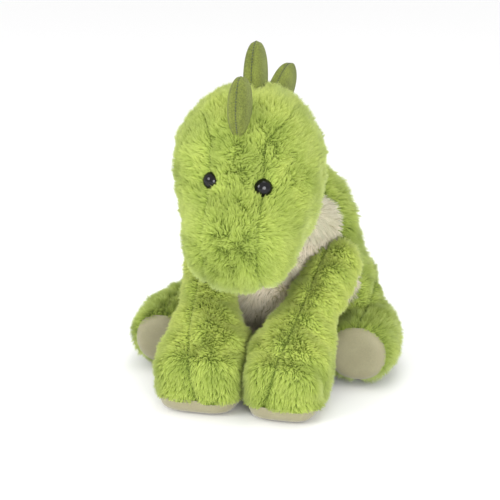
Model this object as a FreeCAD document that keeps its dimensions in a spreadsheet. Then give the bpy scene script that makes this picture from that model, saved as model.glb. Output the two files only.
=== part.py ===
"""A seated plush dinosaur: fur-fabric panels sewn over stuffing, felt spikes, safety eyes.

It faces -Y with +Z up, and X = 0 is its plane of symmetry, so its own left is +X. The origin is on
the surface it sits on, under the middle of its outline. Every soft form is described three times:
as the outside of its skin, as the inside of its skin, and as the stuffing that fills it.
"""
import FreeCAD, Part
import math
import os
import re

SIZES = [
    ("fabric_thick", 6.0, "fur fabric, backing and flattened pile"),
    ("sewing_gap", 0.2, "gap between pieces that are sewn or pressed together"),
    ("joint_gap", 1.6, "gap between bodies that move past each other"),
    ("floor_top", 0.0, "height of the surface that the toy sits on"),
    ("huge_size", 400.0, "side of the blocks that divide the forms"),
    # head
    ("skull_x", 0, "skull, centre and radii"), ("skull_y", -56, ""), ("skull_z", 212, ""),
    ("skull_rx", 66, ""), ("skull_ry", 64, ""), ("skull_rz", 63, ""),
    ("muzzle_x", 0, "muzzle, centre and radii"), ("muzzle_y", -99, ""), ("muzzle_z", 153, ""),
    ("muzzle_rx", 49, ""), ("muzzle_ry", 46, ""), ("muzzle_rz", 46, ""),
    ("cheek_x", 32, "cheek, centre and radii"), ("cheek_y", -71, ""), ("cheek_z", 181, ""),
    ("cheek_rx", 28, ""), ("cheek_ry", 43, ""), ("cheek_rz", 40, ""),
    ("gusset_half", 23.0, "half width of the strip that runs over the middle of the head"),
    # neck
    ("neck_x", 0, "neck ball, centre and radius"), ("neck_y", 2, ""), ("neck_z", 182, ""),
    ("neck_r", 38, ""), ("neck_gap", 5.5, "gap round the neck ball"),
    # trunk
    ("rump_x", 0, "seat and belly, centre and radii"), ("rump_y", 40, ""), ("rump_z", 75, ""),
    ("rump_rx", 88, ""), ("rump_ry", 76, ""), ("rump_rz", 78, ""),
    ("back_x", 0, "chest and shoulders, centre and radii"), ("back_y", 38, ""),
    ("back_z", 128, ""), ("back_rx", 75, ""), ("back_ry", 58, ""), ("back_rz", 72, ""),
    ("belly_seam", 8, "Y of the seam round the cream belly panel"),
    # front leg
    ("shoulder_x", 55, "top of the front leg, centre and radius"), ("shoulder_y", -13, ""),
    ("shoulder_z", 110, ""), ("shoulder_r", 27, ""),
    ("shoulder_gap", 2.4, "gap between the front leg and its hollow in the trunk"),
    ("wrist_x", 40, "bottom of the front leg, centre and radius"), ("wrist_y", -85, ""),
    ("wrist_z", 54, ""), ("wrist_r", 28.5, ""),
    ("paw_x", 39.5, "paw, centre and radii"), ("paw_y", -104, ""), ("paw_z", 30, ""),
    ("paw_rx", 37, ""), ("paw_ry", 40, ""), ("paw_rz", 36, ""),
    ("paw_sole_rise", 6.5, "height of the paw's sole under the wrist"),
    ("paw_sole_tilt", 9.0, "degrees that the sole rises towards the toes"),
    # hind leg
    ("haunch_x", 70, "haunch, centre and radii"), ("haunch_y", 50, ""), ("haunch_z", 46, ""),
    ("haunch_rx", 31, ""), ("haunch_ry", 50, ""), ("haunch_rz", 52, ""),
    ("foot_x", 91, "foot, centre and radii"), ("foot_y", -2, ""), ("foot_z", 31, ""),
    ("foot_rx", 33, ""), ("foot_ry", 65, ""), ("foot_rz", 31, ""),
    ("foot_front", -43, "Y of the flat front of the foot"),
    ("foot_sole_seam", -36, "Y of the seam round the foot's sole"),
    ("hip_x", 54, "X of the flat inner side of the hind leg"),
    # tail
    ("root_x", 0, "root of the tail, centre and radius"), ("root_y", 90, ""), ("root_z", 47, ""),
    ("root_r", 30, ""),
    ("tip_x", 0, "tip of the tail, centre and radius"), ("tip_y", 133, ""), ("tip_z", 26, ""),
    ("tip_r", 13, ""), ("tail_neck", 4, "how much slimmer the tail is than its root"),
    # eyes
    ("eye_x", 22, "middle of the eye's seat, sunk in the pile"), ("eye_y", -110.5, ""),
    ("eye_z", 201, ""), ("eye_backing", 2.0, "backing left behind the eye's seat"),
    ("eye_r", 8.0, "radius of the eye"), ("eye_rim", 1.2, "thickness of the eye's rim"),
    ("eye_stem_r", 2.4, "radius of the eye's stem"), ("eye_stem", 13.0, "its length"),
    ("washer_r", 9.0, "radius of the locking washer"), ("washer_thick", 1.6, "its thickness"),
    ("washer_gap", 3.5, "how far the washer lies behind the backing, to clear its curve"),
    ("eye_yaw", 21.0, "degrees that the eye looks outwards"),
    ("eye_pitch", 1.0, "degrees that the eye looks upwards"),
    # spikes
    ("felt_half", 8.5, "half thickness of a spike at its middle"),
]

# Name, body's form that it is sewn to, Y and Z of its middle, half width, half height, and the
# degrees that it leans back. All of them stand in the plane of symmetry.
SPIKES = [
    ("spike_brow", "head", -105, 264, 17, 28, -8),
    ("spike_crown", "head", -48, 276, 19, 36, 4),
    ("spike_nape", "head", 24, 252, 19, 34, 46),
    ("spike_shoulder", "trunk", 86, 178, 18, 32, 52),
    ("spike_back", "trunk", 108, 131, 16, 28, 72),
    ("spike_rump", "trunk", 116, 96, 12, 22, 82),
    ("spike_tail", "tail", 122, 52, 11, 18, 52),
]

doc = FreeCAD.newDocument("PlushDinosaur")
sheet = doc.addObject("Spreadsheet::Sheet", "Sizes")
for row, (alias, value, note) in enumerate(SIZES, start=1):
    sheet.set("A%d" % row, note)
    sheet.set("B%d" % row, str(value))
    sheet.setAlias("B%d" % row, alias)
doc.recompute()

nodes = []
V = FreeCAD.Vector


def size(alias):
    return float(getattr(sheet, alias))


def bind(thing, **formulas):
    """Tie properties to formulas in which every name with an underscore is a cell of the sheet."""
    for name, formula in formulas.items():
        formula = re.sub(r"[a-z]+(?:_[a-z]+)+", lambda m: "Sizes." + m.group(0), str(formula))
        thing.setExpression(name.replace("__", "."), formula)
    return thing


def centred(thing, at, side, **formulas):
    return bind(thing, Placement__Base__x="%s * %s_x" % (side, at), Placement__Base__y=at + "_y",
                Placement__Base__z=at + "_z", **formulas)


# Each shape below is a function of a name and an inset: the depth, as a formula, that the solid
# lies inside the nominal surface. A negative inset makes the hollow that clears the shape.
def egg(at, side=1):
    def make(name, inset):
        return centred(doc.addObject("Part::Ellipsoid", name), at, side,
                       Radius1="%s_rz - (%s)" % (at, inset), Radius2="%s_rx - (%s)" % (at, inset),
                       Radius3="%s_ry - (%s)" % (at, inset))
    return make


def ball(at):
    def make(name, inset):
        return centred(doc.addObject("Part::Sphere", name), at, 1,
                       Radius="%s_r - (%s)" % (at, inset))
    return make


def taper(start, end, slimmer="0"):
    """The cone that joins two balls."""
    def make(name, inset):
        a, b = (V(*[size(at + axis) for axis in ("_x", "_y", "_z")]) for at in (start, end))
        cone = doc.addObject("Part::Cone", name)
        cone.Placement = FreeCAD.Placement(a, FreeCAD.Rotation(V(0, 0, 1), b - a))
        squares = " + ".join("({0}{2} - {1}{2})^2".format(end, start, axis)
                             for axis in ("_x", "_y", "_z"))
        return bind(cone, Radius1="%s_r - %s - (%s)" % (start, slimmer, inset),
                    Radius2="%s_r - (%s)" % (end, inset), Height="sqrt(%s)" % squares)
    return make


def block(name, low, high):
    """A box between two corners, each given as three formulas."""
    box = doc.addObject("Part::Box", name)
    return bind(box, Placement__Base__x=low[0], Placement__Base__y=low[1],
                Placement__Base__z=low[2], Length="%s - (%s)" % (high[0], low[0]),
                Width="%s - (%s)" % (high[1], low[1]), Height="%s - (%s)" % (high[2], low[2]))


def under_floor(name, inset):
    far = "huge_size"
    return block(name, ("-" + far, "-" + far, "-" + far),
                 (far, far, "floor_top + " + inset))


def fused(name, things):
    whole = things[0]
    for number, thing in enumerate(things[1:]):
        fuse = doc.addObject("Part::Fuse", "%s_fuse%d" % (name, number))
        fuse.Base, fuse.Tool, fuse.Refine = whole, thing, False
        whole = fuse
    return whole


def less(name, thing, tools):
    for number, tool in enumerate(tools):
        cut = doc.addObject("Part::Cut", "%s_less%d" % (name, number))
        cut.Base, cut.Tool = thing, tool
        thing = cut
    return thing


def overlap(name, thing, tool):
    common = doc.addObject("Part::Common", name)
    common.Base, common.Tool = thing, tool
    return common


def mirrored(thing, name):
    copy = doc.addObject("Part::Mirroring", name)
    copy.Source, copy.Normal = thing, V(1, 0, 0)
    return copy


def both(make):
    """A hollow on the left side and the same on the right."""
    def tools(name, inset):
        left = make(name + "_l", inset)
        return [left, mirrored(left, name + "_r")]
    return tools


def one(make):
    return lambda name, inset: [make(name, inset)]


def form(name, shapes, hollows=(), sits=True):
    """The outside of a skin, its inside and its stuffing, all cut level where the form sits."""
    layers = []
    for layer, inset in (("outer", "0"), ("inner", "fabric_thick"),
                         ("fill", "fabric_thick + sewing_gap")):
        key = "%s_%s" % (name, layer)
        whole = fused(key, [make("%s_%d" % (key, i), inset) for i, make in enumerate(shapes)])
        tools = [under_floor(key + "_floor", inset)] if sits else []
        for i, hollow in enumerate(hollows):
            tools += hollow("%s_hollow%d" % (key, i), inset)
        layers.append(less(key, whole, tools))
    outer, inner, fill = layers
    return outer, less(name + "_skin", outer, [inner]), fill


def cleared(make, gap="joint_gap"):
    """A hollow wider than the shape by the gap, and by the skin where the skin lines it."""
    return lambda name, inset: make(name, "-(%s) - (%s)" % (gap, inset))


def keep(thing, label):
    thing.Label = label
    nodes.append(thing)
    return thing


def keep_pair(thing, label):
    keep(thing, label + "_left")
    keep(mirrored(thing, label + "_right_mirror"), label + "_right")


FAR = "huge_size"


def half(name, axis, edge, beyond=True):
    """All of space on one side of a plane across X, Y or Z."""
    low, high = ["-" + FAR] * 3, [FAR] * 3
    if beyond:
        low["xyz".index(axis)] = edge
    else:
        high["xyz".index(axis)] = edge
    return block(name, low, high)


# Trunk. It is hollowed for the neck, the shoulders, the hind legs and the root of the tail.
def hip_disc(name, inset):
    disc = doc.addObject("Part::Cylinder", name)
    disc.Placement = FreeCAD.Placement(V(), FreeCAD.Rotation(V(0, 1, 0), 90))
    return bind(disc, Radius="haunch_rz + joint_gap + (%s)" % inset, Height=FAR,
                Placement__Base__x="hip_x - joint_gap - (%s)" % inset,
                Placement__Base__y="haunch_y", Placement__Base__z="haunch_z")


def foot_room(name, inset):
    return block(name, ("hip_x - joint_gap - (%s)" % inset, "-" + FAR, "-" + FAR),
                 (FAR, "haunch_y - haunch_ry + (%s)" % inset, "foot_z + foot_rz * 1.7"))


arm_shapes = [ball("shoulder"), taper("shoulder", "wrist"), ball("wrist"), egg("paw")]
trunk_hollows = [one(cleared(ball("neck"), "neck_gap")), both(hip_disc), both(foot_room),
                 both(cleared(ball("shoulder"), "shoulder_gap")),
                 both(cleared(taper("shoulder", "wrist"), "shoulder_gap")),
                 one(cleared(ball("root")))]
trunk, trunk_skin, trunk_fill = form("trunk", [egg("rump"), egg("back")], trunk_hollows)
front = half("trunk_front", "y", "belly_seam - sewing_gap / 2", beyond=False)
rear = half("trunk_rear", "y", "belly_seam + sewing_gap / 2")
left_side = half("left_side", "x", "sewing_gap / 2")
keep(overlap("belly", trunk_skin, front), "belly_panel")
back_skin = overlap("back_skin", trunk_skin, rear)
keep_pair(overlap("back_left", back_skin, left_side), "back_panel")
keep(trunk_fill, "trunk_stuffing")

# Neck: the ball of stuffed fur that the head turns on.
neck, neck_skin, neck_fill = form("neck", [ball("neck")], sits=False)
keep(neck_skin, "neck_sleeve")
keep(neck_fill, "neck_stuffing")

# Head, with the sockets of the eyes cut through its skin.
face = FreeCAD.Rotation(V(0, 0, 1), V(0, -1, 0))
gaze = FreeCAD.Rotation(V(0, 0, 1), size("eye_yaw")).multiply(
    FreeCAD.Rotation(V(1, 0, 0), -size("eye_pitch"))).multiply(face)
eye_spot = FreeCAD.Placement(V(size("eye_x"), size("eye_y"), size("eye_z")), gaze)


def eye_rod(name, radius, deep, tall):
    """A rod on the eye's axis, from a depth inside the face to a height in front of it."""
    rod = doc.addObject("Part::Cylinder", name)
    rod.Placement = eye_spot.multiply(FreeCAD.Placement(V(0, 0, -deep), FreeCAD.Rotation()))
    return bind(rod, Radius=radius, Height=tall)


def eye_hole(name, inset):
    return eye_rod(name, "eye_stem_r + sewing_gap", 40, 40)


def eye_pocket(name, inset):
    """Room for the rim and stem in front, and for the washer and stem behind the skin."""
    return eye_rod(name, "washer_r + sewing_gap", size("eye_stem") + size("sewing_gap"), 60)


head_hollows = [one(cleared(ball("neck"), "neck_gap"))]
head_shapes = [egg("skull"), egg("muzzle"), egg("cheek"), egg("cheek", side=-1)]
head, head_skin, head_fill = form("head", head_shapes, head_hollows, sits=False)
holes = both(eye_hole)("eye_hole", "0")
seats = both(lambda name, inset: eye_rod(name, "eye_r + sewing_gap", 0, 40))("eye_seat", "0")
head_skin = less("head_pierced", head_skin, holes + seats)
strip = block("gusset_slab", ("-gusset_half + sewing_gap / 2", "-" + FAR, "-" + FAR),
              ("gusset_half - sewing_gap / 2", FAR, FAR))
keep(overlap("gusset", head_skin, strip), "head_gusset")
keep_pair(overlap("head_left", head_skin, half("cheek_side", "x", "gusset_half + sewing_gap / 2")),
          "head_side")
keep(less("head_fill", head_fill, both(eye_pocket)("eye_pocket", "0")), "head_stuffing")

# Eyes: a domed button with a rim and a stem, and the washer that locks it behind the skin.
dome = doc.addObject("Part::Sphere", "eye_dome")
dome.Placement = eye_spot.multiply(FreeCAD.Placement(V(0, 0, size("eye_rim")),
                                                     FreeCAD.Rotation()))
bind(dome, Radius="eye_r", Angle1="0")
eye_back = size("eye_stem")
eye = fused("eye", [dome, eye_rod("eye_rim_disc", "eye_r", 0, "eye_rim"),
                    eye_rod("eye_stem_rod", "eye_stem_r", eye_back, "eye_stem + eye_rim")])
keep_pair(eye, "eye")
washer_back = size("eye_backing") + size("washer_thick") + size("washer_gap")
washer = less("washer", eye_rod("washer_disc", "washer_r", washer_back, "washer_thick"),
              [eye_rod("washer_bore", "eye_stem_r + sewing_gap / 2", eye_back, "eye_stem")])
keep_pair(washer, "eye_washer")

# Front legs: an outer and an inner panel that meet along the leg, and a cream sole.
arm, arm_skin, arm_fill = form("arm", arm_shapes)
lean = math.degrees(math.atan2(size("shoulder_x") - size("wrist_x"),
                               size("shoulder_z") - size("wrist_z")))
huge = size("huge_size")


def tilted(name, at, axis, degrees, offset):
    """A block whose corner edge is at a point, turned about that point by an angle."""
    box = doc.addObject("Part::Box", name)
    turn = FreeCAD.Rotation(axis, degrees)
    box.Placement = FreeCAD.Placement(at + turn.multVec(offset), turn)
    return bind(box, Length=FAR, Width=FAR, Height=FAR)


shoulder = V(size("shoulder_x"), 0, size("shoulder_z"))
seam = size("sewing_gap") / 2
outside = tilted("arm_outside", shoulder, V(0, 1, 0), lean, V(seam, -huge / 2, -huge / 2))
inside = tilted("arm_inside", shoulder, V(0, 1, 0), lean, V(-huge - seam, -huge / 2, -huge / 2))
heel = V(0, size("wrist_y"), size("paw_sole_rise"))
ground = tilted("arm_ground", heel, V(1, 0, 0), -size("paw_sole_tilt"),
                V(-huge / 2, -huge / 2, -huge - seam))
sleeve = tilted("arm_above", heel, V(1, 0, 0), -size("paw_sole_tilt"),
                V(-huge / 2, -huge / 2, seam))
arm_sleeve = overlap("arm_sleeve", arm_skin, sleeve)
keep_pair(overlap("arm_outer", arm_sleeve, outside), "front_leg_outer")
keep_pair(overlap("arm_inner", arm_sleeve, inside), "front_leg_inner")
keep_pair(overlap("paw_sole", arm_skin, ground), "paw_sole")
keep_pair(arm_fill, "front_leg_stuffing")


# Hind legs: a haunch and a foot with a flat inner side, and a round cream sole in front.
def beyond_foot(name, inset):
    return block(name, ("-" + FAR, "-" + FAR, "-" + FAR), (FAR, "foot_front + " + inset, FAR))


def inside_hip(name, inset):
    return block(name, ("-" + FAR, "-" + FAR, "-" + FAR), ("hip_x + " + inset, FAR, FAR))


leg, leg_skin, leg_fill = form("leg", [egg("haunch"), egg("foot")],
                               [one(beyond_foot), one(inside_hip)])
fur = half("leg_fur", "y", "foot_sole_seam + sewing_gap / 2")
leg_sleeve = overlap("leg_sleeve", leg_skin, fur)
keep_pair(overlap("leg_outer", leg_sleeve, half("leg_out", "x", "foot_x + sewing_gap / 2")),
          "hind_leg_outer")
keep_pair(overlap("leg_inner", leg_sleeve,
                  half("leg_in", "x", "foot_x - sewing_gap / 2", beyond=False)), "hind_leg_inner")
keep_pair(overlap("foot_sole", leg_skin,
                  half("foot_fore", "y", "foot_sole_seam - sewing_gap / 2", beyond=False)),
          "foot_sole")
keep_pair(leg_fill, "hind_leg_stuffing")

# Tail, in two halves.
tail_shapes = [ball("root"), taper("root", "tip", "tail_neck"), ball("tip")]
tail, tail_skin, tail_fill = form("tail", tail_shapes, sits=False)
keep_pair(overlap("tail_left", tail_skin, left_side), "tail_panel")
keep(tail_fill, "tail_stuffing")

# Spikes: two leaves of felt, edge to edge, with their feet shaped to the fur under them.
under = {"head": head, "trunk": trunk, "tail": tail}
for name, home, y, z, wide, tall, back in SPIKES:
    leaf = doc.addObject("Part::Ellipsoid", name + "_leaf")
    bind(leaf, Radius1=tall, Radius2="felt_half", Radius3=wide)
    leaf.Placement = FreeCAD.Placement(V(0, y, z), FreeCAD.Rotation(V(1, 0, 0), -back))
    spike = less(name, leaf, [under[home]])
    keep_pair(overlap(name + "_side", spike, left_side), name)

doc.recompute()

for thing in doc.Objects:
    if "Invalid" in thing.State or "Error" in thing.State:
        raise RuntimeError("%s did not recompute" % thing.Name)
for thing in nodes:
    if thing.Shape.isNull() or not thing.Shape.isValid() or thing.Shape.Volume < 1:
        raise RuntimeError("%s is not a valid solid" % thing.Label)

os.makedirs("parts", exist_ok=True)
for thing in nodes:
    thing.Shape.exportStep("parts/%s.step" % thing.Label)
    print("%-28s %9.0f mm3, %d solid(s)" % (thing.Label, thing.Shape.Volume,
                                            len(thing.Shape.Solids)))
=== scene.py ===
import itertools
import math

import bpy
import numpy as np
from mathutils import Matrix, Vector


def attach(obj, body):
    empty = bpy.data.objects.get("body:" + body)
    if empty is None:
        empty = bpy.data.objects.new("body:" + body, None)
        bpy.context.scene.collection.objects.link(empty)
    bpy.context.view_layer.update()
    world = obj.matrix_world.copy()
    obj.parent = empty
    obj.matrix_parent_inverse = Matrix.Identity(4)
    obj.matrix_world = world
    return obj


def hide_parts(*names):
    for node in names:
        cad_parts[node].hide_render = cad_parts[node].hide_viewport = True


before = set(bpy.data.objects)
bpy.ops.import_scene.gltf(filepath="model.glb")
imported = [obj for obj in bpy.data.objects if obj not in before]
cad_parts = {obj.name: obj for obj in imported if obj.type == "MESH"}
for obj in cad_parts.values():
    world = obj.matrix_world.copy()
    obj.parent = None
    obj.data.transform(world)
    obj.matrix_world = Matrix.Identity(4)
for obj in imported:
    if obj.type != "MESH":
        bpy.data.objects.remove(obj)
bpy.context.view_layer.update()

# A seated plush dinosaur. Shapes are worked out in millimetres, on the CAD model's axes, as
# signed distances: negative inside. The pile is short tapered tufts that stand on the skin.
MM = 0.001
BACKING = 3.8            # how far the skin lies inside the outline that the pile's tips reach
TRUNK_BACKING = 5.5      # the same on the trunk, whose pile stands taller
FILL_DEPTH = 7.0         # how far the stuffing lies inside the skin
FLOOR_GAP = 0.3          # how far the pile keeps off the floor
LUMP, LUMP_SIZE = 0.7, 26.0                # height and width of the unevenness of a stuffed skin
FILL_LUMP, FILL_LUMP_SIZE = 0.8, 14.0      # and of the stuffing itself
SEAM_WIDTH = 2.6         # width of the groove that a seam pulls into a skin
SKIN_STEP = 2.6          # sides of the cells that shapes are meshed with
SOLE_STEP = 3.0
FILL_STEP = 6.0


# ---------------------------------------------------------------- shapes
def vec(*values):
    return np.array(values, float)


def size_of(v):
    return np.sqrt((v * v).sum(-1))


def unit(v):
    return v / np.maximum(size_of(v), 1e-9)[..., None]


def egg(centre, radii, power=2.0):
    """An ellipsoid, or with a higher power a boxier one."""
    centre, radii = vec(*centre), vec(*radii)

    def distance(p):
        q = np.abs(p - centre) / radii
        k = np.maximum((q ** power).sum(1), 1e-9) ** (1 / power)
        slope = size_of((q / k[:, None]) ** (power - 1) / radii)
        return (k - 1) / np.maximum(slope, 0.7 / radii.max())
    return distance


def limb(a, radius_a, b, radius_b):
    """A cone with round ends."""
    a, b = vec(*a), vec(*b)

    def distance(p):
        t = np.clip((p - a) @ (b - a) / ((b - a) @ (b - a)), 0, 1)
        return size_of(p - a - t[:, None] * (b - a)) - radius_a - (radius_b - radius_a) * t
    return distance


def merged(blend, *shapes):
    """The union of shapes, with a fillet of about that size where they meet."""
    def distance(p):
        d = shapes[0](p)
        for shape in shapes[1:]:
            e = shape(p)
            mix = np.clip(0.5 + 0.5 * (e - d) / blend, 0, 1)
            d = e + (d - e) * mix - blend * mix * (1 - mix)
        return d
    return distance


def trimmed(blend, shape, other):
    """What two shapes share, with rounded edges."""
    both = merged(blend, lambda p: -shape(p), lambda p: -other(p))
    return lambda p: -both(p)


def above(height):
    """All that lies higher than that."""
    return lambda p: height - p[:, 2]


def waves(seed, length, parts=1, count=20):
    """A smooth random field of about that wavelength, with values of about 1."""
    rng = np.random.default_rng(seed)
    k = unit(rng.normal(size=(count, 3))) * 2 * math.pi / length
    k *= rng.uniform(0.6, 1.5, (count, 1))
    phase = rng.uniform(0, 2 * math.pi, (count, parts))
    weight = rng.normal(size=(count, parts)) * math.sqrt(2 / count)

    def field(p):
        turn = p @ k.T
        values = np.stack([np.sin(turn + phase[:, i]) @ weight[:, i] for i in range(parts)], -1)
        return values[:, 0] if parts == 1 else values
    return field


def slope(shape, p, reach=0.5):
    """The gradient of a field."""
    steps = np.eye(3) * reach
    return np.stack([shape(p + s) - shape(p - s) for s in steps], -1) / (2 * reach)


def smoothstep(low, high, x):
    t = np.clip((x - low) / (high - low), 0, 1)
    return t * t * (3 - 2 * t)


# ---------------------------------------------------------------- meshes
def skin_of(shape, low, high, step):
    """The closed surface of a shape as points and quads, by surface nets."""
    low = vec(*low) - 2 * step
    axes = [np.arange(a, b + 2 * step, step) for a, b in zip(low, high)]
    grid = np.stack(np.meshgrid(*axes, indexing="ij"), -1)
    value = shape(grid.reshape(-1, 3)).reshape(grid.shape[:3])
    inside = value < 0
    corners = [np.array(c) for c in itertools.product((0, 1), repeat=3)]
    cut = tuple(n - 1 for n in value.shape)

    def at(array, c):
        return array[c[0]:c[0] + cut[0], c[1]:c[1] + cut[1], c[2]:c[2] + cut[2]]
    total = sum(at(inside, c).astype(int) for c in corners)
    live = (total > 0) & (total < 8)
    cells = np.argwhere(live)
    index = np.full(live.shape, -1)
    index[live] = np.arange(len(cells))
    points, hits = np.zeros((len(cells), 3)), np.zeros(len(cells))
    for a in corners:
        for axis in range(3):
            if a[axis]:
                continue
            b = a + np.eye(3, dtype=int)[axis]
            va, vb = value[tuple((cells + a).T)], value[tuple((cells + b).T)]
            cross = (va < 0) != (vb < 0)
            t = va[cross] / (va[cross] - vb[cross])
            points[cross] += a + t[:, None] * (b - a)
            hits += cross
    points = low + (cells + points / hits[:, None]) * step
    quads = []
    for axis in range(3):
        u, w = (axis + 1) % 3, (axis + 2) % 3
        ahead = np.moveaxis(inside, axis, 0)
        nodes = np.argwhere(np.moveaxis(ahead[:-1] != ahead[1:], 0, axis))
        nodes = nodes[(nodes[:, u] > 0) & (nodes[:, w] > 0)
                      & (nodes[:, u] < cut[u]) & (nodes[:, w] < cut[w])]
        eu, ew = np.eye(3, dtype=int)[u], np.eye(3, dtype=int)[w]
        ring = np.stack([index[tuple((nodes - du * eu - dw * ew).T)]
                         for du, dw in ((1, 1), (0, 1), (0, 0), (1, 0))], -1)
        outward = inside[tuple(nodes.T)]
        quads.append(np.where(outward[:, None], ring, ring[:, ::-1]))
    quads = np.concatenate(quads)
    for _ in range(3):       # Newton steps bring the points onto the surface
        push = slope(shape, points)
        points -= push * (shape(points) / np.maximum((push * push).sum(1), 0.2))[:, None]
    return points, quads


def corner_normals(points, quads):
    a, b, c, d = (points[quads[:, i]] for i in range(4))
    face = np.cross(c - a, d - b)
    total = np.zeros_like(points)
    for i in range(4):
        np.add.at(total, quads[:, i], face)
    return unit(total)


def build(name, points, faces, material, uv=None, normals=None):
    """A smooth-shaded object in metres from points in millimetres and arrays of faces."""
    mesh = bpy.data.meshes.new(name)
    mesh.vertices.add(len(points))
    mesh.vertices.foreach_set("co", (np.asarray(points) * MM).astype(np.float32).ravel())
    loops = np.concatenate([f.ravel() for f in faces]).astype(np.int32)
    sides = np.concatenate([np.full(len(f), f.shape[1]) for f in faces])
    mesh.loops.add(len(loops))
    mesh.loops.foreach_set("vertex_index", loops)
    mesh.polygons.add(len(sides))
    mesh.polygons.foreach_set("loop_start", (np.cumsum(sides) - sides).astype(np.int32))
    mesh.update(calc_edges=True)
    mesh.polygons.foreach_set("use_smooth", np.ones(len(sides), bool))
    if uv is not None:
        layer = mesh.uv_layers.new(name="OFBake")
        layer.uv.foreach_set("vector", uv[loops].astype(np.float32).ravel())
    if normals is not None:
        mesh.normals_split_custom_set_from_vertices(normals.astype(np.float32))
    mesh.materials.append(material)
    thing = bpy.data.objects.new(name, mesh)
    bpy.context.scene.collection.objects.link(thing)
    return thing


def stand_in(thing, body, node):
    """Hang a soft piece on the body that it rides on, and hide the part that it stands for."""
    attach(thing, body)
    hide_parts(node)


# ---------------------------------------------------------------- materials
def node_material(name):
    """A material and its shader, and functions that add a node and join two sockets."""
    material = bpy.data.materials.new(name)
    material.use_nodes = True
    tree = material.node_tree
    shader = tree.nodes["Principled BSDF"]

    def add(kind, **settings):
        node = tree.nodes.new(kind)
        for key, value in settings.items():
            if hasattr(node, key):
                setattr(node, key, value)
            else:
                node.inputs[key.replace("_", " ")].default_value = value
        return node

    def join(source, target):
        tree.links.new(source, target)
    return material, shader, add, join


def ramp(add, join, source, *stops):
    """The colour that runs through the stops as the source goes from 0 to 1."""
    node = add("ShaderNodeValToRGB")
    band = node.color_ramp
    while len(band.elements) < len(stops):
        band.elements.new(0.5)
    for element, (place, colour) in zip(band.elements, stops):
        element.position, element.color = place, (*colour, 1)
    join(source, node.inputs["Fac"])
    return node.outputs["Color"]


def multiply(add, join, a, b):
    node = add("ShaderNodeMix", data_type="RGBA", blend_type="MULTIPLY")
    node.inputs["Factor"].default_value = 1
    join(a, node.inputs["A"])
    join(b, node.inputs["B"])
    return node.outputs["Result"]


def plush(name, root, middle, tip, sheen):
    """Pile: its map runs from a root darkened as painted shade to the tip, and across it from one
    tint of the dye to another.
    """
    material, shader, add, join = node_material(name)
    where = add("ShaderNodeUVMap", uv_map="OFBake")
    split = add("ShaderNodeSeparateXYZ")
    join(where.outputs["UV"], split.inputs[0])
    along = ramp(add, join, split.outputs["Y"], (0.0, root), (0.45, middle), (1.0, tip))
    tint = ramp(add, join, split.outputs["X"], (0.0, (0.66, 0.70, 0.60)),
                (0.5, (0.96, 0.97, 0.95)), (1.0, (1.22, 1.16, 1.20)))
    join(multiply(add, join, along, tint), shader.inputs["Base Color"])
    shader.inputs["Roughness"].default_value = 0.72
    shader.inputs["Specular IOR Level"].default_value = 0.25
    shader.inputs["Sheen Weight"].default_value = 0.35
    shader.inputs["Sheen Roughness"].default_value = 0.45
    shader.inputs["Sheen Tint"].default_value = (*sheen, 1)
    return material


def cloth(name, dark, light, scale, strength, rough=0.85, sheen=0.3, grain=(0.78, 1.12)):
    """Felt, velour or fibre: fine fibres in the colour and the bump, over slow variation."""
    material, shader, add, join = node_material(name)
    place = add("ShaderNodeTexCoord").outputs["Object"]
    slow = add("ShaderNodeTexNoise", Scale=scale * 0.06, Detail=3.0)
    fine = add("ShaderNodeTexNoise", Scale=scale, Detail=6.0, Roughness=0.7)
    for node in (slow, fine):
        join(place, node.inputs["Vector"])
    broad = ramp(add, join, slow.outputs["Fac"], (0.3, dark), (0.7, light))
    fibres = ramp(add, join, fine.outputs["Fac"], (0.3, (grain[0],) * 3), (0.7, (grain[1],) * 3))
    join(multiply(add, join, broad, fibres), shader.inputs["Base Color"])
    bump = add("ShaderNodeBump", Strength=strength, Distance=0.0006)
    join(fine.outputs["Fac"], bump.inputs["Height"])
    join(bump.outputs["Normal"], shader.inputs["Normal"])
    shader.inputs["Roughness"].default_value = rough
    shader.inputs["Sheen Weight"].default_value = sheen
    shader.inputs["Sheen Roughness"].default_value = 0.5
    return material


# Each pile runs root, middle, tip; its dark root colour is painted shade deep in the pile.
GREEN = plush("green_pile", (0.060, 0.095, 0.008), (0.37, 0.475, 0.075), (0.64, 0.75, 0.19),
              (0.85, 0.95, 0.5))
CREAM = plush("cream_pile", (0.40, 0.355, 0.20), (0.69, 0.64, 0.47), (0.84, 0.80, 0.65),
              (1.0, 0.97, 0.9))
FELT = cloth("olive_felt", (0.115, 0.140, 0.018), (0.180, 0.215, 0.032), 750, 1.0, sheen=0.03,
             grain=(0.46, 1.44))
SOLE = cloth("cream_velour", (0.240, 0.220, 0.128), (0.262, 0.243, 0.144), 1500, 0.15,
             rough=0.7, grain=(0.82, 1.14))
THREAD = cloth("dark_thread", (0.030, 0.040, 0.010), (0.07, 0.09, 0.02), 2500, 0.4)
FILL = cloth("fibre_fill", (0.70, 0.70, 0.68), (0.88, 0.88, 0.86), 500, 1.0)
WASHER = cloth("washer_plastic", (0.62, 0.62, 0.60), (0.72, 0.72, 0.70), 300, 0.1, rough=0.45,
               sheen=0.0)


def eye_material():
    material, shader, add, join = node_material("eye_black")
    noise = add("ShaderNodeTexNoise", Scale=420.0, Detail=2.0)
    join(add("ShaderNodeTexCoord").outputs["Object"], noise.inputs["Vector"])
    colour = ramp(add, join, noise.outputs["Fac"], (0.3, (0.0020, 0.0020, 0.0025)),
                  (0.8, (0.0045, 0.0042, 0.0040)))
    join(colour, shader.inputs["Base Color"])
    shader.inputs["Roughness"].default_value = 0.09
    shader.inputs["Specular IOR Level"].default_value = 0.3
    return material


EYE = eye_material()


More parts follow.
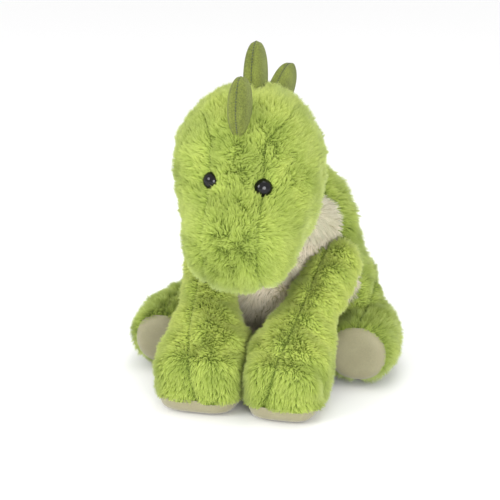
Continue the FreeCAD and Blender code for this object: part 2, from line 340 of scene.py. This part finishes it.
# ---------------------------------------------------------------- pile
THIRDS = 0, 2.0944, 4.1888       # of a turn, in radians
ROOT_DEPTH = 0.6                 # how far under the skin a tuft starts
GIRTH = 0.18, 0.29               # least and greatest radius at a tuft's root
TUFT_LENGTH = 0.72, 1.12         # shares of the pile's length
GATHER = 0.40, 0.80              # how far tips draw together towards the middle of their lock
TUFT_LEAN, LOCK_LEAN = 0.12, 0.18          # spread of the lean of single tufts and whole locks
LOCK_LENGTH, TINT_SPREAD = 0.10, 0.10      # spread of the locks' lengths, and of the tints
SEAM_REACH, SEAM_LEAN = 4.0, 0.75          # how far a seam parts the pile, and how much
# The darkening near a seam is painted shade, as in the seam's groove.
SEAM_SHORTEN, SEAM_SHADE = 0.50, 0.16      # how much shorter and darker it is there
SEAM_LINE, LINE_LENGTH = 0.9, 0.35         # half width of the bare line itself, and its pile
BUTTON_RIM, BUTTON_REACH = 7.5, 14         # pile inside the first is cut, up to the second leans


def downwards(amount, back=0.0):
    """Pile that lies down the form, and by that much towards its back."""
    return lambda p: np.broadcast_to(vec(0, back, -amount), p.shape)


def scatter(rng, points, quads, per_mm2):
    """Random places on a surface and its normals there, and the normals at its corners."""
    normals = corner_normals(points, quads)
    a, b, c, d = (points[quads[:, i]] for i in range(4))
    area = 0.5 * size_of(np.cross(c - a, d - b))
    face = np.repeat(np.arange(len(quads)), rng.poisson(area * per_mm2))
    s, t = rng.random((2, len(face), 1))
    weight = ((1 - s) * (1 - t), s * (1 - t), s * t, (1 - s) * t)
    foot = sum(w * points[quads[face, i]] for i, w in enumerate(weight))
    up = unit(sum(w * normals[quads[face, i]] for i, w in enumerate(weight)))
    return foot, up, normals


def locks_of(foot, field, lock_size):
    """The lock that each tuft belongs to, and how many tufts each lock has."""
    wander = waves(field + 11, 5.0, 3)(foot) * 0.8
    cell = np.floor((foot + wander) / lock_size).astype(np.int64)
    key = cell[:, 0] * 73856093 ^ cell[:, 1] * 19349663 ^ cell[:, 2] * 83492791
    _, lock = np.unique(key, return_inverse=True)
    return lock, np.bincount(lock)


def sprout(rng, foot, tip, up):
    """Three-sided spikes from feet just under the skin: their rings, and normals to shade by."""
    n = len(foot)
    heading = unit(tip - foot)
    side = unit(np.cross(heading, rng.normal(size=(n, 3))))
    other = np.cross(heading, side)
    girth = rng.uniform(*GIRTH, n)[:, None]
    spokes = [side * math.cos(q) + other * math.sin(q) for q in THIRDS]
    rings = [foot - heading * ROOT_DEPTH + girth * spoke for spoke in spokes]
    shading = [unit(up * 0.9 + spoke * 0.35 + heading * 0.2) for spoke in spokes]
    return rings, shading + [unit(up * 0.8 + heading * 0.4)]


def pile(name, points, quads, material, node, body, flow, seed, seams=(), length=8.5,
         per_mm2=1.5, fade=None, tint_and_painted_light=None, lock_size=2.4, ruffle=1.0, buttons=()):
    """A sewn panel: its skin, with a tapered tuft of fibres on every spot of it.

    flow is the lean of the pile, and ruffle how unruly it is; the tint shift passed in is mostly
    painted light and shade. seams are fields that are zero along a seam: tufts near one are
    short, darkened as painted shade, and lean away from it, as far as fade allows. Tufts near a
    button leave it clear.
    """
    rng = np.random.default_rng(seed)
    field = seed // 10 * 1000            # the panels of one form share their slow fields
    used, quads = np.unique(quads, return_inverse=True)
    points, quads = points[used], quads.reshape(-1, 4)
    foot, up, normals = scatter(rng, points, quads, per_mm2 * (1))
    n = len(foot)

    # Tufts share a lean with the rest of their lock, and their tips draw together.
    lock, count = locks_of(foot, field, lock_size)
    middle = np.stack([np.bincount(lock, foot[:, i]) for i in range(3)], -1) / count[:, None]
    lock_up = unit(np.stack([np.bincount(lock, up[:, i]) for i in range(3)], -1))
    lock_lean = rng.normal(size=(len(count), 3)) * LOCK_LEAN
    lock_length = rng.normal(1.0, LOCK_LENGTH, len(count))
    lean = ((waves(field + 3, 15.0, 3)(foot) * 0.26 + waves(field + 5, 40.0, 3)(foot) * 0.20)
            * ruffle + flow(foot) + lock_lean[lock])
    long = length * (1 + 0.09 * waves(field + 7, 22.0)(foot)) * lock_length[lock]
    shade = 0.5 + 0.13 * waves(field + 9, 30.0)(foot) + rng.normal(0, TINT_SPREAD, n)
    shade += rng.normal(0, TINT_SPREAD, len(count))[lock]
    # painted light and shade, as a shift of the tint
    if tint_and_painted_light is not None:
        shade += tint_and_painted_light(foot)
    for place in buttons:
        gap = size_of((foot - place) * vec(1, 1, 1.3))
        near = smoothstep(BUTTON_REACH, BUTTON_REACH / 2, gap)
        lean += unit(foot - place) * (1.1 * near)[:, None]
        long *= np.where(gap < BUTTON_RIM, 0.25, 1 - 0.5 * near)
    for seam in seams:
        away = seam(foot)
        near = np.exp(-(away / SEAM_REACH) ** 2)
        if fade is not None:
            near = near * fade(foot)
        toward = unit(slope(seam, foot)) * np.sign(away)[:, None]
        lean += toward * (SEAM_LEAN * near)[:, None]
        long *= 1 - SEAM_SHORTEN * near
        # painted shade along the seam
        shade -= SEAM_SHADE * near
        long[np.abs(away) < SEAM_LINE] *= LINE_LENGTH
    across = lean + rng.normal(size=(n, 3)) * TUFT_LEAN
    across -= up * (across * up).sum(1)[:, None]
    lock_heading = unit(lock_up[lock] + lean - up * (lean * up).sum(1)[:, None])
    long *= rng.uniform(*TUFT_LENGTH, n)
    tip = foot + unit(up + across) * long[:, None]
    together = middle[lock] + lock_heading * (long * 1.04)[:, None]
    tip = tip + (together - tip) * rng.uniform(*GATHER, n)[:, None]
    tip[:, 2] = np.maximum(tip[:, 2], FLOOR_GAP + 0.6 * rng.random(n))

    rings, shading = sprout(rng, foot, tip, up)
    start = len(points)
    ids = [start + i * n + np.arange(n) for i in range(4)]
    tips = ids.pop()
    sides = np.concatenate([np.stack([ids[i], ids[(i + 1) % 3], tips], -1) for i in range(3)])
    shade = np.clip(shade, 0.02, 0.98)
    uv = np.zeros((start + 4 * n, 2))
    # The skin takes the darkest root colour: painted shade under the pile.
    uv[:start] = 0.3, 0.04
    for ring in ids:
        uv[ring] = np.stack([shade, np.full(n, 0.10)], -1)
    uv[tips] = np.stack([shade, np.full(n, 0.97)], -1)
    thing = build(name, np.concatenate([points] + rings + [tip]), [quads, sides], material, uv,
                  np.concatenate([normals] + shading))
    stand_in(thing, body, node)


def stuffing(node, shape, low, high, body):
    """The fibre inside a form, lumpy and well inside its skin."""
    lumps = waves(91, FILL_LUMP_SIZE)
    points, quads = skin_of(lambda p: shape(p) + BACKING + FILL_DEPTH + FILL_LUMP * lumps(p),
                            low, high, FILL_STEP)
    stand_in(build(node + "_fibre", points, [quads], FILL), body, node)


def mirror(shape):
    """The same shape on the other side of the toy."""
    return lambda p: shape(p * vec(-1, 1, 1))


def sided(box, sign):
    """A box on the left side, or its mirror image on the right."""
    (x0, y0, z0), (x1, y1, z1) = box
    return box if sign > 0 else ((-x1, y0, z0), (-x0, y1, z1))


def at_faces(field, points, quads):
    """A field's value in the middle of each face."""
    return field(points[quads].mean(1))


def skin(shape, low, high, seams=(), depth=2.4, seed=0, backing=BACKING):
    """The skin of a form: sunk under its pile, pulled in along its seams and a little uneven."""
    lumps = waves(seed + 31, LUMP_SIZE)

    def surface(p):
        d = shape(p) + backing + LUMP * lumps(p)
        for seam in seams:
            d = d + depth * np.exp(-(seam(p) / SEAM_WIDTH) ** 2)
        return d
    return skin_of(surface, low, high, SKIN_STEP)


def velour(node, body, shape, box, rim, depth, past):
    """The sole of a limb, that deep inside its outline and reaching that far past its rim."""
    points, quads = skin_of(lambda p: shape(p) + depth, *box, SOLE_STEP)
    near = at_faces(rim, points, quads) < past
    stand_in(build(node + "_velour", points, [quads[near]], SOLE), body, node)


# ---------------------------------------------------------------- head
head_shape = merged(16, egg((-3, -56, 212), (65, 64, 64)), egg((0, -99, 153), (49, 46, 46), 2.3),
                    egg((32, -71, 181), (28, 43, 40)), egg((-32, -71, 181), (28, 43, 40)))


def gusset_seam(p):
    wide = 22 + 18 * smoothstep(232, 262, p[:, 2]) * smoothstep(30, -20, p[:, 1])
    return np.abs(p[:, 0]) - wide


HEAD_BOX = ((-70, -150, 100), (70, 20, 280))
NOSE_TIP, FOREHEAD = vec(0, -140, 148), vec(0, -108, 228)
points, quads = skin(head_shape, *HEAD_BOX, seams=[gusset_seam], depth=1.2, seed=1)
side = at_faces(gusset_seam, points, quads)
left = at_faces(lambda p: p[:, 0], points, quads) > 0


def face_flow(p):
    """Away from the tip of the nose, but upright on it and on the forehead."""
    amount = 0.85 - 0.80 * np.exp(-(size_of(p - NOSE_TIP) / 22) ** 2)
    amount -= 0.80 * np.exp(-(size_of(p - FOREHEAD) / 26) ** 2)
    return unit(p - vec(0, -128, 156)) * amount[:, None]


def face_painted_light_and_shade(p):
    """Painted shade where the pile stands upright, on the nose and the forehead, painted light on
    the crown, lit from above, and a slight darkening all over.
    """
    return (-0.30 * np.exp(-(size_of(p - vec(0, -140, 146)) / 28) ** 2)
            - 0.30 * np.exp(-(size_of(p - FOREHEAD) / 32) ** 2)
            + 0.30 * smoothstep(240, 268, p[:, 2]) - 0.04)


# Each eye's name, middle and yaw: they aren't quite level.
EYES = [("eye_left", vec(22, -110.5, 200), 0.42), ("eye_right", vec(-22, -110.5, 203.5), -0.37)]
head_pile = dict(material=GREEN, body="head", length=6.8, per_mm2=3.8, lock_size=2.1,
                 flow=face_flow, tint_and_painted_light=face_painted_light_and_shade, seams=[gusset_seam],
                 fade=lambda p: 0.55 * smoothstep(-40, -90, p[:, 1]),
                 buttons=[place for _, place, _ in EYES])
pile("head_gusset_plush", points, quads[side <= 0], node="head_gusset", seed=101, **head_pile)
pile("head_side_left_plush", points, quads[(side > 0) & left], node="head_side_left", seed=102,
     **head_pile)
pile("head_side_right_plush", points, quads[(side > 0) & ~left], node="head_side_right",
     seed=103, **head_pile)
stuffing("head_stuffing", head_shape, *HEAD_BOX, body="head")

# ---------------------------------------------------------------- neck
neck_shape = egg((0, 2, 182), (38, 38, 38))
NECK_BOX = ((-40, -40, 140), (40, 44, 224))
points, quads = skin(neck_shape, *NECK_BOX, seed=2)
pile("neck_sleeve_plush", points, quads, GREEN, "neck_sleeve", "neck", seed=111, per_mm2=1.3,
     flow=downwards(0.3))
stuffing("neck_stuffing", neck_shape, *NECK_BOX, body="neck")

# ---------------------------------------------------------------- trunk
trunk_shape = merged(26, egg((0, 40, 75), (88, 76, 78)), egg((0, 38, 128), (75, 58, 72)))
trunk_shape = merged(12, trunk_shape, egg((36, 6, 142), (25, 24, 26)),
                     egg((-36, 6, 142), (25, 24, 26)))
trunk_shape = trimmed(8, trunk_shape, above(-BACKING))   # so that its skin clears the floor


def belly_seam(p):
    """The cream reaches further back at the neck and behind the front legs."""
    return (p[:, 1] - 8 - 9 * np.exp(-((p[:, 2] - 146) / 22) ** 2)
            - 18 * np.exp(-((p[:, 2] - 82) / 18) ** 2))


def back_seam(p):
    """Down the middle of the back, and far from everything in front of it."""
    return np.where(p[:, 1] > 20, p[:, 0], 60.0)


# Painted shade low on the trunk's sides at the front, behind the front legs, where they shade it.
def flank_painted_shade(p):
    return -0.60 * smoothstep(150, 110, p[:, 2]) * smoothstep(66, 34, p[:, 1])


TRUNK_BOX = ((-92, -42, -4), (92, 120, 206))
trunk_seams = [belly_seam, back_seam]
points, quads = skin(trunk_shape, *TRUNK_BOX, seams=trunk_seams, seed=3,
                     backing=TRUNK_BACKING)
front = at_faces(belly_seam, points, quads) < 0
left = at_faces(lambda p: p[:, 0], points, quads) > 0
# The belly's cream is lifted low down, between the front legs, as painted light where they shade
# it.
pile("belly_panel_plush", points, quads[front], CREAM, "belly_panel", "trunk",
     seams=[belly_seam], seed=121, per_mm2=2.4, length=9.5, flow=downwards(0.5),
     tint_and_painted_light=lambda p: 0.35 * smoothstep(150, 120, p[:, 2]))
for name, half, seed in (("left", left, 122), ("right", ~left, 123)):
    pile("back_panel_%s_plush" % name, points, quads[~front & half], GREEN,
         "back_panel_" + name, "trunk", seams=trunk_seams, seed=seed, per_mm2=1.7,
         flow=downwards(0.6, back=0.1), tint_and_painted_light=flank_painted_shade)
stuffing("trunk_stuffing", trunk_shape, *TRUNK_BOX, body="trunk")

# ---------------------------------------------------------------- front legs
SHOULDER, WRIST = (55, 110), (40, 54)    # X and Z that the seam down the front leg passes through
ARM_LEAN = math.atan2(SHOULDER[0] - WRIST[0], SHOULDER[1] - WRIST[1])
ACROSS_ARM = vec(math.cos(ARM_LEAN), 0, -math.sin(ARM_LEAN))
PAW_SLOPE = math.tan(math.radians(9))


def arm_form(shoulder, wrist, wrist_wide, paw, paw_wide):
    """A front leg, from how far to the side its parts are and how wide they are."""
    shape = merged(34, limb((shoulder, -6, 104), 23, (wrist, -86, 52), wrist_wide),
                   egg((paw, -103, 26), (paw_wide, 40, 33), 3.6))
    return trimmed(6, shape, above(-BACKING + 1))


def arm_seam(p):
    return (p - vec(SHOULDER[0], 0, SHOULDER[1])) @ ACROSS_ARM


def paw_rim(p):
    """Height over the seam round the sole, which rises towards the toes."""
    rise = 4.5 - (p[:, 1] + 85) * PAW_SLOPE
    return p[:, 2] - rise


# Painted light on the upper front legs, which the head shades, and painted shade low down on
# them.
def arm_painted_light_and_shade(p):
    return 0.56 * smoothstep(38, 66, p[:, 2]) - 0.16


ARM_BOX = ((-4, -150, -4), (92, 20, 176))
# The toy isn't quite even: its left front leg stands further out, on a narrower paw.
ARMS = [("left", 1, 130, arm_form(65, 42, 27, 42, 34)),
        ("right", -1, 140, mirror(arm_form(53, 34, 28.5, 33, 39)))]
for name, sign, seed, shape in ARMS:
    seam = (lambda p, flip=vec(sign, 1, 1): arm_seam(p * flip))
    box = sided(ARM_BOX, sign)
    points, quads = skin(shape, *box, seams=[seam], seed=seed)
    outer = at_faces(seam, points, quads) > 0
    low = at_faces(paw_rim, points, quads) < 0
    arm_pile = dict(material=GREEN, body="front_leg_" + name, per_mm2=3.4, length=6.4,
                    ruffle=0.5, lock_size=2.2, flow=downwards(0.7, back=-0.35), tint_and_painted_light=arm_painted_light_and_shade,
                    seams=[seam, paw_rim])
    pile("front_leg_outer_%s_plush" % name, points, quads[outer & ~low],
         node="front_leg_outer_" + name, seed=seed + 1, **arm_pile)
    pile("front_leg_inner_%s_plush" % name, points, quads[~outer & ~low],
         node="front_leg_inner_" + name, seed=seed + 2, **arm_pile)
    stuffing("front_leg_stuffing_" + name, shape, *box, body="front_leg_" + name)
    velour("paw_sole_" + name, "front_leg_" + name, shape, box, paw_rim, depth=3.2, past=3.0)

# ---------------------------------------------------------------- hind legs
def leg_form(haunch_z, haunch_tall, front):
    """A hind leg, from the middle and height of its haunch and the Y of its foot's flat front."""
    shape = merged(14, egg((70, 50, haunch_z), (31, 50, haunch_tall)),
                   egg((91, -2, 31), (33, 65, 31), 2.2))
    shape = trimmed(9, shape, lambda p: front - p[:, 1])
    return trimmed(5, shape, above(-BACKING + 1))


def leg_seam(p):
    return p[:, 0] - 91


LEG_BOX = ((34, -54, -4), (130, 104, 104))
# The right haunch is lower, and its foot a little further forward.
LEGS = [("left", 1, 150, -43, leg_form(46, 52, -43)),
        ("right", -1, 160, -48, mirror(leg_form(38, 45, -48)))]
for name, sign, seed, front, shape in LEGS:
    seam = (lambda p, flip=vec(sign, 1, 1): leg_seam(p * flip))
    foot_rim = (lambda p, front=front: p[:, 1] - front - 6)
    box = sided(LEG_BOX, sign)
    points, quads = skin(shape, *box, seams=[seam], seed=seed)
    outer = at_faces(seam, points, quads) > 0
    fore = at_faces(foot_rim, points, quads) < 0
    # The hind legs' pile is painted darker all over, as painted shade.
    leg_pile = dict(material=GREEN, body="hind_leg_" + name, per_mm2=2.3, length=7.0,
                    flow=downwards(0.45), tint_and_painted_light=lambda p: -0.15, seams=[seam, foot_rim])
    pile("hind_leg_outer_%s_plush" % name, points, quads[outer & ~fore],
         node="hind_leg_outer_" + name, seed=seed + 1, **leg_pile)
    pile("hind_leg_inner_%s_plush" % name, points, quads[~outer & ~fore],
         node="hind_leg_inner_" + name, seed=seed + 2, **leg_pile)
    stuffing("hind_leg_stuffing_" + name, shape, *box, body="hind_leg_" + name)
    velour("foot_sole_" + name, "hind_leg_" + name, shape, box, foot_rim, depth=2.6, past=2.0)

# ---------------------------------------------------------------- tail
tail_shape = merged(10, limb((0, 90, 47), 29, (0, 133, 26), 13), egg((0, 90, 47), (30, 30, 30)))
TAIL_BOX = ((-32, 58, 10), (32, 148, 80))
middle_seam = (lambda p: p[:, 0])
points, quads = skin(tail_shape, *TAIL_BOX, seams=[middle_seam], seed=4)
left = at_faces(middle_seam, points, quads) > 0
for name, half, seed in (("left", left, 171), ("right", ~left, 172)):
    pile("tail_panel_%s_plush" % name, points, quads[half], GREEN, "tail_panel_" + name, "tail",
         seams=[middle_seam], seed=seed, flow=downwards(0.2, back=0.5))
stuffing("tail_stuffing", tail_shape, *TAIL_BOX, body="tail")

# ---------------------------------------------------------------- spikes
# Each spike's name, body, Y and Z, half width, half height, and the degrees that it leans back
# and flops to the side.
SPIKES = [
    ("spike_brow", "head", -105, 264, 17, 28, -8, 3),
    ("spike_crown", "head", -48, 276, 19, 36, 4, 0),
    ("spike_nape", "head", 24, 252, 19, 34, 46, 14),
    ("spike_shoulder", "trunk", 86, 178, 18, 32, 52, 0),
    ("spike_back", "trunk", 108, 131, 16, 28, 72, 0),
    ("spike_rump", "trunk", 116, 96, 12, 22, 82, 0),
    ("spike_tail", "tail", 122, 52, 11, 18, 52, 0),
]
LEAF_ROWS, LEAF_COLS = 34, 25
LEAF_THICK = 9.2
STITCH_EVERY, STITCH_LONG = 2.6, 2.0
STITCH_RINGS = ((0.0, 0.25), (0.25, 0.70), (0.75, 0.70), (1.0, 0.25))   # how far along, radius
STITCH_SIDES = 6


def tube_faces(rows, cols, closed):
    """Quads between neighbouring points of a grid, closed round its columns or not."""
    i, j = np.meshgrid(np.arange(rows - 1), np.arange(cols if closed else cols - 1),
                       indexing="ij")
    k = (j + 1) % cols
    return np.stack([i * cols + j, i * cols + k, (i + 1) * cols + k, (i + 1) * cols + j],
                    -1).reshape(-1, 4)


def leaf(sign, wide, tall, back, aside, seed):
    """One felt half of a spike as a grid of points: bagged out, it bulges past its seam."""
    rise = np.linspace(-0.97, 1.0, LEAF_ROWS)
    turn = np.linspace(0, math.pi, LEAF_COLS)
    # A long oval, blunter at its tip than at its root.
    blunt = np.where(rise > 0, np.clip(1 - np.abs(rise) ** 2.6, 0, 1) ** 0.55,
                     np.clip(1 - np.abs(rise) ** 1.7, 0, 1) ** 0.8)
    half_width = np.maximum(wide * blunt, 0.02)[:, None]
    half_thick = np.maximum(LEAF_THICK * blunt ** 0.8, 0.01)[:, None]
    # Across it, boxier than an ellipse, pinched in at the seam and puckered there by stitches.
    c, s = np.cos(turn), np.sin(turn)
    round_off = np.sign(c) * np.abs(c) ** 0.75
    notch = 1 - 0.17 * np.exp(-(s / 0.17) ** 2)
    pucker = 1 + 0.012 * np.sin(rise[:, None] * 60 + seed) * np.exp(-(s / 0.35) ** 2)
    flop = math.tan(math.radians(aside)) * tall * (0.5 * rise[:, None] + 0.3) * 1.6
    x = sign * half_thick * np.abs(s) ** 0.70 + flop
    y = half_width * round_off * notch * pucker
    z = tall * rise[:, None] + 0 * turn
    bend = math.radians(back)
    return np.stack([x, y * math.cos(bend) + z * math.sin(bend),
                     z * math.cos(bend) - y * math.sin(bend)], -1)


def stitches(name, lines):
    """Short dark stitches along lines of points."""
    verts, faces = [], []
    tube = tube_faces(len(STITCH_RINGS), STITCH_SIDES, closed=True)
    upright = vec(1, 0, 0)
    for line in lines:
        run = np.concatenate([[0], np.cumsum(size_of(np.diff(line, axis=0)))])
        for at in np.arange(1.5, run[-1] - 2.5, STITCH_EVERY):
            a, b = (np.array([np.interp(at + o, run, line[:, i]) for i in range(3)])
                    for o in (0, STITCH_LONG))
            wide = np.cross(unit(b - a), upright)
            if size_of(wide) < 0.2:
                continue
            wide = unit(wide)
            faces.append(tube + len(verts))
            for along, radius in STITCH_RINGS:
                verts += [a + (b - a) * along
                          + radius * (wide * math.cos(q) + upright * math.sin(q))
                          for q in np.linspace(0, 2 * math.pi, STITCH_SIDES, endpoint=False)]
    return build(name, np.array(verts), faces, THREAD)


for number, (name, body, y, z, *form) in enumerate(SPIKES):
    for side_name, sign in (("left", 1), ("right", -1)):
        grid = leaf(sign, *form, seed=200 + number) + vec(0, y, z)
        if sign > 0:
            seam_lines = [grid[:, 0], grid[::-1, -1]]
        quads = tube_faces(LEAF_ROWS, LEAF_COLS, closed=False)[:, ::sign]
        node = "%s_%s" % (name, side_name)
        stand_in(build(node + "_felt", grid.reshape(-1, 3), [quads], FELT), body, node)
    threads = stitches(name + "_stitches", seam_lines)
    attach(threads, body)

# ---------------------------------------------------------------- eyes
# Radius and height of each ring: the stem, the flat back, the rim and the dome.
EYE_RINGS = [(2.4, -12.0), (2.4, -0.25), (7.2, -0.4),
             (8.05, -0.2), (8.25, 0.3), (8.1, 0.8), (7.85, 1.3), (7.3, 3.0), (6.3, 4.6),
             (4.9, 5.9), (3.2, 6.7), (1.6, 7.05), (0.02, 7.15)]
EYE_SIDES = 32
EYE_PITCH = 0.02


def eye(name, centre, yaw, pitch):
    """A domed glossy button with a thin rim, and its stem."""
    turn = np.linspace(0, 2 * math.pi, EYE_SIDES, endpoint=False)[:, None]
    gaze = unit(vec(math.sin(yaw), -math.cos(yaw) * math.cos(pitch), math.sin(pitch)))
    right = unit(np.cross(vec(0, 0, 1), gaze))
    top = np.cross(gaze, right)
    verts = np.concatenate([centre + height * gaze
                            + radius * (np.cos(turn) * right + np.sin(turn) * top)
                            for radius, height in EYE_RINGS])
    thing = build(name + "_dome", verts, [tube_faces(len(EYE_RINGS), EYE_SIDES, closed=True)],
                  EYE)
    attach(thing, "head")
    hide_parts(name)


for name, place, yaw in EYES:
    eye(name, place, yaw, EYE_PITCH)
for side_name in ("left", "right"):
    for material_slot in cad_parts["eye_washer_" + side_name].material_slots:
        material_slot.material = WASHER

# ---------------------------------------------------------------- stage
FLOOR_HALF = 6000.0
FLOOR_DROP = 0.2                         # the paper lies just under the lowest pile
AZIMUTH, ELEVATION = math.radians(14), math.radians(17)
AIM = Vector((-0.0085, -0.0336, 0.1210))
CAMERA_FAR = 1.3
SENSOR, LENS = 36, 104


def area_light(name, place, target, size, power):
    lamp = bpy.data.lights.new(name, "AREA")
    lamp.shape, lamp.size, lamp.energy = "DISK", size, power
    thing = bpy.data.objects.new(name, lamp)
    thing.location = place
    thing.rotation_euler = (Vector(target) - Vector(place)).to_track_quat("-Z", "Y").to_euler()
    bpy.context.scene.collection.objects.link(thing)


floor_material, shader, add, join = node_material("paper_floor")
noise = add("ShaderNodeTexNoise", Scale=6.0, Detail=2.0)
join(ramp(add, join, noise.outputs["Fac"], (0.3, (0.93,) * 3), (0.7, (0.95,) * 3)),
     shader.inputs["Base Color"])
shader.inputs["Roughness"].default_value = 0.9
corners = np.array([(-1, -1, 0), (1, -1, 0), (1, 1, 0), (-1, 1, 0)]) * FLOOR_HALF
build("floor", corners - vec(0, 0, FLOOR_DROP), [np.array([(0, 1, 2, 3)])],
               floor_material)

world = bpy.data.worlds.new("studio")
world.use_nodes = True
world.node_tree.nodes["Background"].inputs["Color"].default_value = (1, 1, 1, 1)
world.node_tree.nodes["Background"].inputs["Strength"].default_value = 1.0
bpy.context.scene.world = world
area_light("key", (-1.0, -1.2, 0.8), target=(0, 0, 0.12), size=0.8, power=13)
area_light("fill", (0.8, -1.5, 0.3), target=(0, 0, 0.10), size=0.9, power=22)
area_light("top", (0.2, 0.1, 1.5), target=(0, 0, 0.2), size=0.9, power=5)

away = Vector((math.sin(AZIMUTH) * math.cos(ELEVATION), -math.cos(AZIMUTH) * math.cos(ELEVATION),
               math.sin(ELEVATION)))
camera = bpy.data.cameras.new("camera")
camera.sensor_width, camera.lens = SENSOR, LENS
eye_point = bpy.data.objects.new("camera", camera)
eye_point.location = AIM + away * CAMERA_FAR
eye_point.rotation_euler = (-away).to_track_quat("-Z", "Y").to_euler()
bpy.context.scene.collection.objects.link(eye_point)
bpy.context.scene.camera = eye_point
bpy.context.scene.view_settings.view_transform = "Standard"
